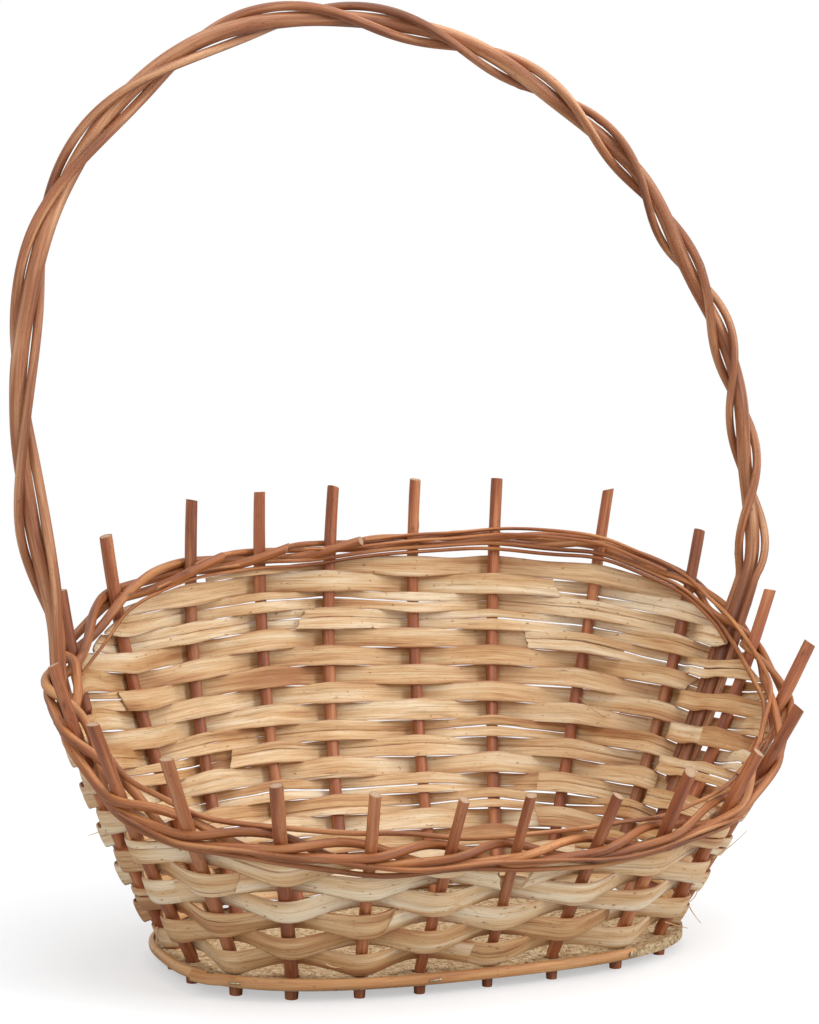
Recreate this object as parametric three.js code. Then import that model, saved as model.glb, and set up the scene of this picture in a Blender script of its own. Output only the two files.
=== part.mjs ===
// A stake-and-strand gift basket with a low front, a high back and a twisted willow handle.
// Millimetres, +Z up, X along the oval, -Y to the low front.
import * as THREE from 'three';

// Board, its hoop and the stubs that the basket stands on
const holeRingLength = 238;
const holeRingWidth = 136;
const ringPower = 2.68;
const edgeMargin = 6.5;
const boardThickness = 4.5;
const stubLength = 5;
const hoopThickness = 2.3;
const hoopHeight = 5;
const hoopDrop = 0.4;
const clearance = 0.3;

const hoopJointAngle = 203;
const hoopLapAngle = 5;
const frontHoopAngle = 299;
const backHoopAngle = 14;

// Willow stakes
const stakeDiameter = 6;
const tallestStake = 213;
const tipStandout = 25;
const footLean = 30;
const frontLean = 31;
const endLean = 20;
const backLean = -3;

// Flat splints
const splintWidth = 8.6;
const splintThickness = 1.1;
const rowGap = 0.6;
const firstRowLift = 3;

// Three-rod rim
const rimButtDiameter = 4.9;
const rimTipDiameter = 3.1;

// Handle: a thick rod with two thinner rods wound round it
const handleHeight = 434;
const handleHalfSpan = 190;
const coreDiameter = 7.4;
const coreOrbit = 1.9;
const wrapDiameters = [4.6, 4.2];
const wrapOrbit = 6.3;
const legRelief = 1.6;
const wrapDepthShares = [0.6, 0.5];
const lagShares = { core: 0.7, wraps: [0, 0.39], feet: [0, 0.5] };
const twistTurns = 5.5;
const quickeningShare = 0.45;
const settlingShare = 0.12;

// Staples and nail of the hoop
const wireDiameter = 1.1;
const stapleCrown = 6;
const nailHeadDiameter = 3.4;
const nailHeadThickness = 0.8;
const stapleAngles = [214, 262];
const nailAngle = 297.5;

// The stakes in turn, from the left end round the front to the right end and round the back
const stakeAngles = [176, 188, 210, 229, 247, 260, 270, 280, 298, 321, 336, 347,
  360, 380, 405, 421, 438, 452, 462, 480, 487, 514];
const stakeLengthShares = [0.667, 0.577, 0.535, 0.493, 0.474, 0.451, 0.451, 0.432, 0.474, 0.488, 0.573, 0.695,
  0.789, 0.901, 0.981, 1, 0.995, 0.977, 0.967, 0.953, 0.878, 0.779];
const swayShares = [0.085, 0.13, -0.02, -0.03, -0.05, 0, -0.05, 0.03, -0.06, -0.115, -0.165, -0.02,
  0.025, -0.045, -0.13, -0.03, -0.02, -0.045, 0, -0.04, 0.155, 0.01];
const standoutShares = [0.96, 1.2, 1.25, 1, 1.05, 0.92, 1, 0.88, 1.12, 0.96, 0.96, 0.96,
  0.96, 0.8, 0.86, 0.98, 1, 0.96, 1, 1.04, 0.9, 0.96];

// The handle's legs stand in the wall as two more warps, after these stakes
const legSeats = [
  { after: 12, angle: 368, rimShare: 0.695, extraLean: 4, beat: 12 },
  { after: 21, angle: 525, rimShare: 0.6, extraLean: 0, beat: 21 },
];

// How wide the rows lie at each warp, legs among them: wide at the low front, close at the legs
const spreadShares = [1.09, 1.16, 1.17, 1.13, 1.19, 1.19, 1.19, 1.13, 1.19, 1.1, 1.07, 1.02,
  0.98, 0.95, 0.965, 1, 1.02, 1.02, 1.035, 1.035, 1.01, 0.98, 1.04, 1.04];

// The arch's points across and up, as shares of the handle's half span and height
const archShares = [
  [-0.92, 0.355], [-0.975, 0.46], [-1, 0.575], [-0.99, 0.67], [-0.945, 0.77], [-0.84, 0.855],
  [-0.695, 0.92], [-0.51, 0.972], [-0.28, 0.998], [-0.025, 0.99], [0.21, 0.96], [0.425, 0.91],
  [0.585, 0.85], [0.715, 0.77], [0.845, 0.68], [0.915, 0.575], [0.955, 0.47], [0.96, 0.405],
];

// Worked out sizes
const boardBottom = stubLength;
const boardTop = boardBottom + boardThickness;
const stakeRadius = stakeDiameter / 2;
const coreRadius = coreDiameter / 2;
const rowPitch = splintWidth + rowGap;
const rimHalfHeight = rimButtDiameter + rimTipDiameter / 2;
const bendLift = stakeRadius * Math.tan(radians(footLean / 2)) + clearance;
const coreLift = coreRadius * Math.sin(radians(footLean)) + clearance;
const boardSides = 72;
const holeSides = 8;
const rodSides = 6;
const handleStep = handleHeight / 30;

const willow = new THREE.MeshStandardMaterial({ color: 0xb0703f, roughness: 0.62, metalness: 0 });
const splintWood = new THREE.MeshStandardMaterial({ color: 0xdcc49a, roughness: 0.7, metalness: 0 });
const chipboard = new THREE.MeshStandardMaterial({ color: 0xb59a6b, roughness: 0.85, metalness: 0 });
const splitWillow = new THREE.MeshStandardMaterial({ color: 0xc08146, roughness: 0.6, metalness: 0 });
const steel = new THREE.MeshStandardMaterial({ color: 0xb9b7ae, roughness: 0.35, metalness: 1 });

const basket = new THREE.Group();

function radians(degrees) {
  return THREE.MathUtils.degToRad(degrees);
}

// A point of the oval grown by margin, with its outward direction
function ovalPlace(angle, margin) {
  const a = holeRingLength / 2 + margin;
  const b = holeRingWidth / 2 + margin;
  const c = Math.cos(radians(angle));
  const s = Math.sin(radians(angle));
  const x = a * Math.sign(c) * Math.abs(c) ** (2 / ringPower);
  const y = b * Math.sign(s) * Math.abs(s) ** (2 / ringPower);
  const out = new THREE.Vector3(
    Math.sign(x) * Math.abs(x / a) ** (ringPower - 1) / a,
    Math.sign(y) * Math.abs(y / b) ** (ringPower - 1) / b,
    0,
  );
  return { x, y, out: out.normalize() };
}

// The lean that the wall reaches at the tips, blended from front to ends to back
function tipLean(y) {
  const v = y / (holeRingWidth / 2);
  const slope = (backLean - frontLean) / 2;
  const bow = (backLean + frontLean) / 2 - endLean;
  return endLean + slope * v + bow * v * v;
}

function makeWarp(angle, length, sway, rim, shape) {
  const foot = ovalPlace(angle, 0);
  return { foot, length, sway, rim, lean: tipLean(foot.y) + shape.extraLean, ...shape };
}

// A warp's axis at a distance along the wall, with the wall's upward and outward directions
function warpPlace(warp, along) {
  const bend = radians(footLean - warp.lean) / warp.length;
  const start = radians(footLean);
  const lean = start - bend * along;
  const out = (Math.cos(lean) - Math.cos(start)) / bend;
  const rise = (Math.sin(start) - Math.sin(lean)) / bend;
  const side = new THREE.Vector3(-warp.foot.out.y, warp.foot.out.x, 0);
  const point = new THREE.Vector3(warp.foot.x, warp.foot.y, boardTop + bendLift + rise)
    .addScaledVector(warp.foot.out, out)
    .addScaledVector(side, warp.sway * along / warp.length);
  const up = warp.foot.out.clone().multiplyScalar(Math.sin(lean))
    .addScaledVector(side, warp.sway / warp.length)
    .add(new THREE.Vector3(0, 0, Math.cos(lean))).normalize();
  const normal = side.clone().cross(up).normalize();
  return { point, up, normal, side };
}

const stakeShape = { radius: stakeRadius, low: stakeRadius, high: stakeRadius, extraLean: 0 };
const legReach = coreRadius + wrapDiameters[0] + clearance * 2;
const warps = [];
stakeAngles.forEach((angle, index) => {
  const length = tallestStake * stakeLengthShares[index];
  const rim = length - tipStandout * standoutShares[index] - rimHalfHeight;
  const stake = makeWarp(angle, length, length * swayShares[index], rim, stakeShape);
  stake.number = index + 1;
  stake.beat = index;
  warps.push(stake);
  legSeats.filter((seat) => seat.after === index).forEach((seat) => {
    const legRim = tallestStake * seat.rimShare;
    const shape = { radius: coreRadius + legRelief, low: coreRadius, high: legReach, extraLean: seat.extraLean };
    const leg = makeWarp(seat.angle, legRim + tipStandout, 0, legRim, shape);
    leg.beat = seat.beat;
    warps.push(leg);
  });
});
const legs = warps.filter((warp) => warp.number === undefined);
const warpCount = warps.length;

function warpAt(index) {
  return warps[((index % warpCount) + warpCount) % warpCount];
}

// Six times the volume that a triangle closes with the origin
function wedge(points, corners) {
  const [a, b, c] = corners.map((corner) => points[corner]);
  return a.dot(b.clone().cross(c));
}

// A closed skin over rings of points, wound so that it faces out
function addSkin(name, rings, material) {
  const sides = rings[0].length;
  const last = (rings.length - 1) * sides;
  const points = rings.flat();
  const faces = [];
  for (let r = 0; r < last; r += sides) {
    for (let k = 0; k < sides; k += 1) {
      const next = (k + 1) % sides;
      faces.push([r + k, r + next, r + sides + k], [r + next, r + sides + next, r + sides + k]);
    }
  }
  for (let k = 1; k + 1 < sides; k += 1) {
    faces.push([0, k + 1, k], [last, last + k, last + k + 1]);
  }
  const volume = faces.reduce((sum, face) => sum + wedge(points, face), 0);
  if (volume < 0) {
    faces.forEach((face) => face.reverse());
  }
  const positions = points.flatMap((point) => point.toArray());
  const geometry = new THREE.BufferGeometry();
  geometry.setAttribute('position', new THREE.Float32BufferAttribute(positions, 3));
  geometry.setIndex(faces.flat());
  geometry.computeVertexNormals();
  addMesh(name, geometry, material);
}

function addMesh(name, geometry, material) {
  const mesh = new THREE.Mesh(geometry, material);
  mesh.name = name;
  basket.add(mesh);
  return mesh;
}

function directionAt(points, index) {
  const before = points[Math.max(index - 1, 0)];
  const after = points[Math.min(index + 1, points.length - 1)];
  return after.clone().sub(before).normalize();
}

// Round sections along a line of points, with one radius for each point
function addRod(name, points, radii, guides, material) {
  const rings = points.map((point, index) => {
    const along = directionAt(points, index);
    const first = guides[index].clone().projectOnPlane(along).normalize();
    const second = along.clone().cross(first);
    const ring = [];
    for (let k = 0; k < rodSides; k += 1) {
      const turn = 2 * Math.PI * k / rodSides;
      ring.push(point.clone()
        .addScaledVector(first, radii[index] * Math.cos(turn))
        .addScaledVector(second, radii[index] * Math.sin(turn)));
    }
    return ring;
  });
  addSkin(name, rings, material);
}

// The board, with a hole for each stake
function addBoard() {
  const outline = [];
  for (let k = 0; k < boardSides; k += 1) {
    const place = ovalPlace(360 * k / boardSides, edgeMargin);
    outline.push(new THREE.Vector2(place.x, place.y));
  }
  const shape = new THREE.Shape(outline);
  const holeRadius = (stakeRadius + clearance) / Math.cos(Math.PI / holeSides);
  warps.filter((warp) => warp.number).forEach((warp) => {
    const hole = [];
    for (let k = 0; k < holeSides; k += 1) {
      const turn = 2 * Math.PI * k / holeSides;
      hole.push(new THREE.Vector2(
        warp.foot.x + holeRadius * Math.cos(turn),
        warp.foot.y + holeRadius * Math.sin(turn),
      ));
    }
    shape.holes.push(new THREE.Path(hole));
  });
  const geometry = new THREE.ExtrudeGeometry(shape, { depth: boardThickness, bevelEnabled: false, steps: 1 });
  addMesh('base_board', geometry, chipboard).position.z = boardBottom;
}

// One length of the hoop round the board's edge; lift moves its first end out over the other length
function addHoop(name, fromAngle, toAngle, lift, liftSpan) {
  const steps = Math.ceil(Math.abs(toAngle - fromAngle) * boardSides / 360);
  const rings = [];
  for (let k = 0; k <= steps; k += 1) {
    const angle = fromAngle + (toAngle - fromAngle) * k / steps;
    const share = THREE.MathUtils.smoothstep(Math.abs(angle - fromAngle), liftSpan, liftSpan * 2);
    const place = ovalPlace(angle, edgeMargin);
    const inner = clearance + lift * (1 - share);
    const outer = inner + hoopThickness;
    const low = boardBottom + hoopDrop;
    const high = low + hoopHeight;
    rings.push([[inner, low], [outer, low], [outer, high], [inner, high]].map(([reach, z]) => (
      new THREE.Vector3(place.x, place.y, z).addScaledVector(place.out, reach)
    )));
  }
  addSkin(name, rings, splitWillow);
}

function addHoopFixings() {
  const face = clearance * 2 + hoopThickness;
  const middleHeight = boardBottom + hoopDrop + hoopHeight / 2;
  stapleAngles.forEach((angle, index) => {
    const place = ovalPlace(angle, edgeMargin);
    const side = new THREE.Vector3(-place.out.y, place.out.x, 0);
    const radius = wireDiameter / 2;
    const centre = new THREE.Vector3(place.x, place.y, middleHeight).addScaledVector(place.out, face + radius);
    const ends = [-stapleCrown / 2, stapleCrown / 2].map((across) => centre.clone().addScaledVector(side, across));
    addRod(`hoop_staple_${index + 1}`, ends, [radius, radius], [place.out, place.out], steel);
  });
  const place = ovalPlace(nailAngle, edgeMargin);
  const centre = new THREE.Vector3(place.x, place.y, middleHeight);
  const ends = [face, face + nailHeadThickness].map((reach) => centre.clone().addScaledVector(place.out, reach));
  const radius = nailHeadDiameter / 2;
  const guide = new THREE.Vector3(0, 0, 1);
  addRod('hoop_nail', ends, [radius, radius], [guide, guide], steel);
}

// A stake: upright in its hole, then leaning along the wall to its tip
function addStake(stake) {
  const points = [new THREE.Vector3(stake.foot.x, stake.foot.y, 0)];
  const steps = Math.ceil((footLean - Math.min(stake.lean, footLean)) / 4) + 2;
  for (let k = 0; k <= steps; k += 1) {
    points.push(warpPlace(stake, stake.length * k / steps).point);
  }
  const guides = points.map(() => stake.foot.out);
  const radii = points.map(() => stakeRadius);
  addRod(`stake_${String(stake.number).padStart(2, '0')}`, points, radii, guides, willow);
}

// The share of the way to the next warp that a warp's own width takes
function widthShare(index, direction, along, extra) {
  const warp = warpAt(index);
  const here = warpPlace(warp, along).point;
  const there = warpPlace(warpAt(index + direction), along).point;
  const wrapsEnd = warp.rim * (1 - Math.max(...wrapDepthShares)) - splintWidth;
  const half = along > wrapsEnd ? warp.high : warp.low;
  return Math.min((half + extra) / here.distanceTo(there), 0.6);
}

// A point of the wall between two warps, moved out by reach
function wallPoint(position, alongs, reach) {
  const index = Math.floor(position);
  const share = position - index;
  const a = warpPlace(warpAt(index), alongs(index));
  const b = warpPlace(warpAt(index + 1), alongs(index + 1));
  const normal = a.normal.clone().lerp(b.normal, share).normalize();
  return {
    point: a.point.clone().lerp(b.point, share).addScaledVector(normal, reach),
    up: a.up.clone().lerp(b.up, share).normalize(),
    normal,
  };
}

// The rows' spread, heights and widths along the wall at a warp
function rowSpread(index) {
  return spreadShares[((index % warpCount) + warpCount) % warpCount];
}

function rowHeight(row, index) {
  return firstRowLift + rowPitch * rowSpread(index) * (row - 1 / 2);
}

function rowWidth(index) {
  return rowPitch * rowSpread(index) - rowGap;
}

function rowTop(row, index) {
  return rowHeight(row, index) + rowWidth(index) / 2;
}

// A row's place between two warps, with its width there
function rowPlace(row, position, reach) {
  const index = Math.floor(position);
  const width = THREE.MathUtils.lerp(rowWidth(index), rowWidth(index + 1), position - index);
  return { width, ...wallPoint(position, (warp) => rowHeight(row, warp), reach) };
}

// A row passes inside one stake and outside the next, and a leg on the same side as the stake at its end
function rowReach(row, index) {
  const side = (warpAt(index).beat + row) % 2 === 0 ? -1 : 1;
  return side * (warpAt(index).radius + clearance * 1.5 + splintThickness / 2);
}

function rimRadius(position, start) {
  const share = THREE.MathUtils.clamp((position - start) / warpCount, 0, 1);
  return THREE.MathUtils.lerp(rimButtDiameter, rimTipDiameter, share) / 2;
}

const rimStartIndex = 18;

// How high the splints may reach at a warp
function rimUnderside(index) {
  const past = ((index - rimStartIndex) % warpCount + warpCount) % warpCount;
  const radius = rimRadius(rimStartIndex + past, rimStartIndex);
  const slope = Math.max(slopeFactor(index - 1), slopeFactor(index));
  return warpAt(index).rim - (3 * radius + clearance * 5) * slope;
}

// A strip of splint through places on the wall
function addSplint(name, places) {
  const points = places.map((place) => place.point);
  const rings = places.map((place, index) => {
    const along = directionAt(points, index);
    const thick = along.clone().cross(place.up).normalize().multiplyScalar(splintThickness / 2);
    const wide = place.up.clone().multiplyScalar(place.width / 2);
    return [[1, 1], [-1, 1], [-1, -1], [1, -1]].map(([u, v]) => (
      place.point.clone().addScaledVector(wide, u).addScaledVector(thick, v)
    ));
  });
  addSkin(name, rings, splintWood);
}

// The places where a row bends over one warp
function rowBends(row, index, inset) {
  const along = rowHeight(row, index);
  const before = widthShare(index, -1, along, splintThickness);
  const after = widthShare(index, 1, along, splintThickness);
  const reach = rowReach(row, index) - inset;
  return [index - before, index, index + after].map((position) => rowPlace(row, position, reach));
}

// A row right round the basket, its tail lapped inside its own start
const tailShare = 0.33;

function addFullRow(row, start) {
  const inset = splintThickness + clearance;
  const places = [];
  for (let index = start; index < start + warpCount; index += 1) {
    places.push(...rowBends(row, index, 0));
  }
  places.push(...rowBends(row, start + warpCount, inset));
  const tail = start + warpCount + tailShare;
  places.push(rowPlace(row, tail, rowReach(row, start) - inset));
  addSplint(`splint_row_${String(row).padStart(2, '0')}`, places);
}

// How far a row runs on past a warp before the falling rim would meet it, as a share of the way
function runOnShare(row, index, direction) {
  const here = rimUnderside(index) - rowTop(row, index) - clearance * 3;
  const there = rimUnderside(index + direction) - rowTop(row, index + direction);
  const clear = 1 - widthShare(index + direction, -direction, rowHeight(row, index), splintThickness * 2);
  return there < 0 ? Math.min(here / (here - there), clear) : clear;
}

// A row of the raised back, out to where the falling rim stops it
function addPartRow(row, first, last) {
  const ends = [[first, -1], [last, 1]].map(([index, direction]) => {
    const share = runOnShare(row, index, direction);
    const reach = THREE.MathUtils.lerp(rowReach(row, index), rowReach(row, index + direction), share);
    return rowPlace(row, index + direction * share, reach);
  });
  const places = [ends[0]];
  for (let index = first; index <= last; index += 1) {
    places.push(...rowBends(row, index, 0));
  }
  places.push(ends[1]);
  addSplint(`splint_row_${String(row).padStart(2, '0')}`, places);
}

function rowFits(row, index) {
  if (rowTop(row, index) > rimUnderside(index)) {
    return false;
  }
  return [-1, 1].every((direction) => {
    const open = rowTop(row, index + direction) <= rimUnderside(index + direction);
    const width = widthShare(index, direction, rowHeight(row, index), splintThickness);
    return open || runOnShare(row, index, direction) > width;
  });
}

// Rows from the board up: rings while they fit under the low front, then parts round the back
function addRows() {
  const backMiddleIndex = 17;
  const rowStartIndex = 15;
  for (let row = 1; rowFits(row, backMiddleIndex); row += 1) {
    let first = backMiddleIndex;
    let last = backMiddleIndex;
    while (last - first < warpCount && rowFits(row, last + 1)) {
      last += 1;
    }
    while (last - first < warpCount && rowFits(row, first - 1)) {
      first -= 1;
    }
    if (last - first >= warpCount) {
      addFullRow(row, rowStartIndex - row % 2 + 2 * (row % 4));
    } else {
      addPartRow(row, first, last);
    }
  }
}

// The height wave of a rim rod: down through the wall, up across two stakes, and back over
function rimWave(turn) {
  const v = ((turn % 3) + 3) % 3;
  if (v < 0.5) {
    return -2 * v;
  }
  return v < 2.5 ? v - 1.5 : 2 * (3 - v);
}

// How much more height a rod takes where the rim slopes
function slopeFactor(position) {
  const places = [Math.floor(position), Math.floor(position) + 1].map((index) => (
    warpPlace(warpAt(index), warpAt(index).rim)
  ));
  const along = places[1].point.clone().sub(places[0].point).normalize();
  return 1 / Math.sqrt(1 - along.dot(places[0].up) ** 2);
}

// A rim rod passes outside two warps and inside the third
function addRimRod(number) {
  const start = rimStartIndex + number - 1;
  const buttShare = 0.28;
  const points = [];
  const radii = [];
  const guides = [];
  const place = (position, side, inset) => {
    const radius = rimRadius(position, start);
    const turn = position - start;
    const slope = (slopeFactor(position - 1 / 2) + slopeFactor(position + 1 / 2)) / 2;
    const wave = rimWave(turn) * (2 * radius + clearance * 3) * slope;
    const index = Math.round(position);
    const reach = side * (warpAt(index).radius + clearance * 1.5 + radius) - inset;
    const spot = wallPoint(position, (warp) => warpAt(warp).rim + wave, reach);
    points.push(spot.point);
    radii.push(radius);
    guides.push(spot.normal);
  };
  const inset = (rimButtDiameter + rimTipDiameter) / 2 + clearance;
  place(start - buttShare, -1, inset);
  for (let index = start; index < start + warpCount; index += 1) {
    const side = (index - start) % 3 === 0 ? -1 : 1;
    const hidden = index === start ? inset : 0;
    const before = widthShare(index, -1, warpAt(index).rim, rimTipDiameter / 2);
    const after = widthShare(index, 1, warpAt(index).rim, rimTipDiameter / 2);
    [index - before, index, index + after].forEach((position) => place(position, side, hidden));
    const nextSide = (index + 1 - start) % 3 === 0 ? -1 : 1;
    const nextBefore = widthShare(index + 1, -1, warpAt(index + 1).rim, rimTipDiameter / 2);
    place(index + (1 + after - nextBefore) / 2, (side + nextSide) / 2, 0);
  }
  const end = start + warpCount;
  place(end - widthShare(end, -1, warpAt(end).rim, rimTipDiameter / 2), -1, 0);
  place(end, -1, 0);
  addRod(`rim_rod_${number}`, points, radii, guides, willow);
}

// The handle's line: up one leg, over the arch and down the other leg
function handleLine() {
  const [right, left] = legs;
  const leftRim = warpPlace(left, left.rim);
  const rightRim = warpPlace(right, right.rim);
  const across = rightRim.point.clone().sub(leftRim.point).setZ(0).normalize();
  const middle = leftRim.point.clone().add(rightRim.point).multiplyScalar(1 / 2).setZ(0);
  const arch = archShares.map(([u, v]) => (
    middle.clone().addScaledVector(across, u * handleHalfSpan).setZ(v * handleHeight)
  ));
  const legSteps = 5;
  const legPoints = (leg) => Array.from({ length: legSteps + 1 }, (_, k) => (
    warpPlace(leg, coreLift + (leg.rim - coreLift) * k / legSteps).point
  ));
  const curve = new THREE.CatmullRomCurve3(
    [...legPoints(left), ...arch, ...legPoints(right).reverse()],
    false,
    'centripetal',
  );
  curve.arcLengthDivisions = 1200;
  const front = new THREE.Vector3(across.y, -across.x, 0);
  return { curve, front, left, right, length: curve.getLength() };
}

// The line's place and cross directions at a distance, turned to the wall along the legs
function handleFrame(line, distance) {
  const share = THREE.MathUtils.clamp(distance / line.length, 0, 1);
  const point = line.curve.getPointAt(share);
  const along = line.curve.getTangentAt(share);
  const leg = share < 1 / 2 ? line.left : line.right;
  const [before, here, after] = [-1, 0, 1].map((step) => {
    const warp = warpAt(warps.indexOf(leg) + step);
    return warpPlace(warp, warp.rim).point;
  });
  const legFront = after.clone().sub(before).setZ(0).normalize();
  legFront.multiplyScalar(Math.sign(legFront.dot(line.front)));
  const blend = THREE.MathUtils.smoothstep(point.z, here.z, here.z + handleHalfSpan / 4);
  const front = legFront.lerp(line.front, blend).projectOnPlane(along).normalize();
  return { point, front, out: front.clone().cross(along) };
}

// How far a strand has turned round the handle's line, and how fully it lies in the twist
function twistAt(line, distance) {
  const foot = rimHalfHeight * 4 - coreLift;
  const start = line.left.rim + foot;
  const span = line.length - start - line.right.rim - foot;
  const way = THREE.MathUtils.clamp((distance - start) / span, 0, 1);
  const turns = twistTurns * way * (1 - quickeningShare * (1 - way));
  return { turns, settled: THREE.MathUtils.smoothstep(Math.min(way, 1 - way), 0, settlingShare) };
}

// A strand from one distance to another, orbiting the handle's line
function addStrand(name, line, radius, range, orbit) {
  const steps = Math.round((range[1] - range[0]) / handleStep);
  const points = [];
  const guides = [];
  for (let k = 0; k <= steps; k += 1) {
    const distance = range[0] + (range[1] - range[0]) * k / steps;
    const place = handleFrame(line, distance);
    const { turns, settled } = twistAt(line, distance);
    const lag = THREE.MathUtils.lerp(orbit.footLag, orbit.lag, settled);
    const reach = THREE.MathUtils.lerp(orbit.footReach, orbit.reach, settled);
    const angle = 2 * Math.PI * (1 / 4 + turns - lag);
    points.push(place.point.clone()
      .addScaledVector(place.out, reach * Math.cos(angle))
      .addScaledVector(place.front, reach * Math.sin(angle)));
    guides.push(place.out);
  }
  addRod(name, points, points.map(() => radius), guides, willow);
}

function addHandle() {
  const line = handleLine();
  const coreLag = lagShares.core;
  addStrand('handle_core', line, coreRadius, [0, line.length], {
    footLag: coreLag, lag: coreLag, footReach: 0, reach: coreOrbit,
  });
  wrapDiameters.forEach((diameter, number) => {
    const low = 1 - wrapDepthShares[number];
    const range = [line.left.rim * low, line.length - line.right.rim * low];
    addStrand(`handle_wrap_${number + 1}`, line, diameter / 2, range, {
      footLag: lagShares.feet[number],
      lag: lagShares.wraps[number],
      footReach: coreRadius + diameter / 2 + clearance * 2.5,
      reach: wrapOrbit,
    });
  });
}

addBoard();
addHoop('hoop_front', hoopJointAngle - hoopLapAngle, frontHoopAngle, hoopThickness + clearance, hoopLapAngle * 1.2);
addHoop('hoop_back', hoopJointAngle, backHoopAngle, 0, hoopLapAngle);
addHoopFixings();
warps.filter((warp) => warp.number).forEach(addStake);
addRows();
[1, 2, 3].forEach(addRimRod);
addHandle();

// The frame's origin is under the middle of the whole basket
const box = new THREE.Box3().setFromObject(basket);
const middle = box.getCenter(new THREE.Vector3());
basket.position.set(-middle.x, -middle.y, -box.min.z);

export default basket;
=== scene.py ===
"""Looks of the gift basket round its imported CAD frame. Metres, +Z up, the low front to -Y."""
import math
from math import ceil, copysign, cos, pi, radians, sin, sqrt, tan
from types import SimpleNamespace

import bpy
import numpy as np
from mathutils import Matrix, Vector
from numpy.linalg import norm


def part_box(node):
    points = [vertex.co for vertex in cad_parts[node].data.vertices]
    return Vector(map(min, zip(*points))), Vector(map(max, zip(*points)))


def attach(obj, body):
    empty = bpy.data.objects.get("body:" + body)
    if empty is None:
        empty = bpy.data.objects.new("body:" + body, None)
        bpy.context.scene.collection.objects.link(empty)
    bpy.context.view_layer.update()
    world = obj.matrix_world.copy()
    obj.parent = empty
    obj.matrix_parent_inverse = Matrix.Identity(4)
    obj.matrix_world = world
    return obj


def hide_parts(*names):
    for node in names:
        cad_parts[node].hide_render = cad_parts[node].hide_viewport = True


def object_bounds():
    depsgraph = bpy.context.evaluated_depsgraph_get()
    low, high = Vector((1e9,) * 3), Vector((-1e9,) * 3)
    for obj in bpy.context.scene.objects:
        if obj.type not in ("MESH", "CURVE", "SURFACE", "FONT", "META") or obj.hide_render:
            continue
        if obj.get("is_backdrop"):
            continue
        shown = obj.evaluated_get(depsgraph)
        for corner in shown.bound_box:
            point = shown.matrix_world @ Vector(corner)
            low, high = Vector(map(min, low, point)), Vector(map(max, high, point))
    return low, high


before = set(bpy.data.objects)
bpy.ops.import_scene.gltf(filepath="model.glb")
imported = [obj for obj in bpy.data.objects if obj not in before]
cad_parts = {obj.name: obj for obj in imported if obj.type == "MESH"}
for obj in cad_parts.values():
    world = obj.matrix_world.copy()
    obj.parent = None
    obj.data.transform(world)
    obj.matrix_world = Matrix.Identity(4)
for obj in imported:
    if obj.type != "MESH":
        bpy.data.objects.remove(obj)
cad_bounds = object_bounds()

MM = 0.001

# Sizes of the construction in millimetres, as in the part
HOLE_LENGTH = 238
HOLE_WIDTH = 136
OVAL_POWER = 2.68
EDGE_MARGIN = 6.5
BOARD_BOTTOM = 5
BOARD_THICKNESS = 4.5
BOARD_TOP = BOARD_BOTTOM + BOARD_THICKNESS
CLEARANCE = 0.3
HOOP_THICKNESS = 2.3
HOOP_HEIGHT = 5
HOOP_DROP = 0.4
STAKE_RADIUS = 3
TALLEST_STAKE = 213
TIP_STANDOUT = 25
FOOT_LEAN = 30
FRONT_LEAN = 31
END_LEAN = 20
BACK_LEAN = -3
SPLINT_WIDTH = 8.6
SPLINT_THICKNESS = 1.1
ROW_GAP = 0.6
ROW_PITCH = SPLINT_WIDTH + ROW_GAP
FIRST_ROW_LIFT = 3
RIM_BUTT = 4.9
RIM_TIP = 3.1
RIM_HALF_HEIGHT = RIM_BUTT + RIM_TIP / 2
RIM_START = 18
HANDLE_HEIGHT = 434
HANDLE_HALF_SPAN = 190
CORE_RADIUS = 3.7
CORE_ORBIT = 1.9
WRAP_DIAMETERS = [4.6, 4.2]
LEG_RELIEF = 1.6
WRAP_DEPTHS = [0.6, 0.5]
BACK_MIDDLE = 17

STAKE_ANGLES = [176, 188, 210, 229, 247, 260, 270, 280, 298, 321, 336, 347,
                360, 380, 405, 421, 438, 452, 462, 480, 487, 514]
STAKE_LENGTHS = [0.667, 0.577, 0.535, 0.493, 0.474, 0.451, 0.451, 0.432, 0.474, 0.488, 0.573, 0.695,
                 0.789, 0.901, 0.981, 1, 0.995, 0.977, 0.967, 0.953, 0.878, 0.779]
STAKE_SWAYS = [0.085, 0.13, -0.02, -0.03, -0.05, 0, -0.05, 0.03, -0.06, -0.115, -0.165, -0.02,
               0.025, -0.045, -0.13, -0.03, -0.02, -0.045, 0, -0.04, 0.155, 0.01]
STANDOUTS = [0.96, 1.2, 1.25, 1, 1.05, 0.92, 1, 0.88, 1.12, 0.96, 0.96, 0.96,
             0.96, 0.8, 0.86, 0.98, 1, 0.96, 1, 1.04, 0.9, 0.96]
LEG_SEATS = {12: (368, 0.695, 4), 21: (525, 0.6, 0)}
# How wide the rows lie at each warp, legs among them
SPREADS = [1.09, 1.16, 1.17, 1.13, 1.19, 1.19, 1.19, 1.13, 1.19, 1.1, 1.07, 1.02,
           0.98, 0.95, 0.965, 1, 1.02, 1.02, 1.035, 1.035, 1.01, 0.98, 1.04, 1.04]
ARCH = [(-0.92, 0.355), (-0.975, 0.46), (-1, 0.575), (-0.99, 0.67), (-0.945, 0.77), (-0.84, 0.855),
        (-0.695, 0.92), (-0.51, 0.972), (-0.28, 0.998), (-0.025, 0.99), (0.21, 0.96), (0.425, 0.91),
        (0.585, 0.85), (0.715, 0.77), (0.845, 0.68), (0.915, 0.575), (0.955, 0.47), (0.96, 0.405)]

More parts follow.
